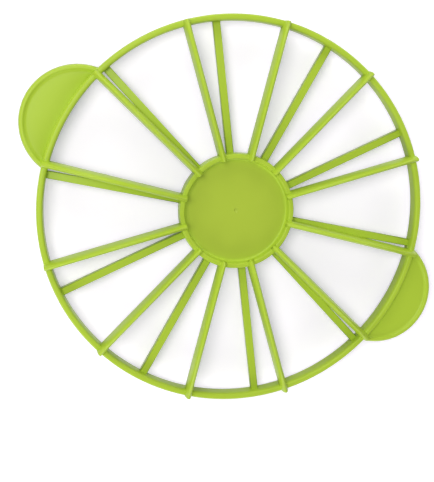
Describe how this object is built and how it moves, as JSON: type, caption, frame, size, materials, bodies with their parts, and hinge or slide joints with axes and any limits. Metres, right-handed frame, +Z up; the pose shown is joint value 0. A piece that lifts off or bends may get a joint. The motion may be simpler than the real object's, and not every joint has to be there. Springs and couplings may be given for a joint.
{
  "type": "cake portion marker",
  "caption": "Flat round marker pressed into icing to space equal portions: wedge spokes on both faces join a dished hub to a ring with half-moon grip tabs.",
  "frame": {"origin": "middle of the marker, on the plane of the lower spoke ridges that it rests on", "axes": "+X through the middle of one grip tab, +Z up out of the face with the upper spoke ridges"},
  "size_m": [0.3234, 0.27, 0.023],
  "materials": {
    "marker": "satin lime green moulded plastic"
  },
  "bodies": {
    "root": {"portion_marker": "marker"}
  },
  "joints": []
}
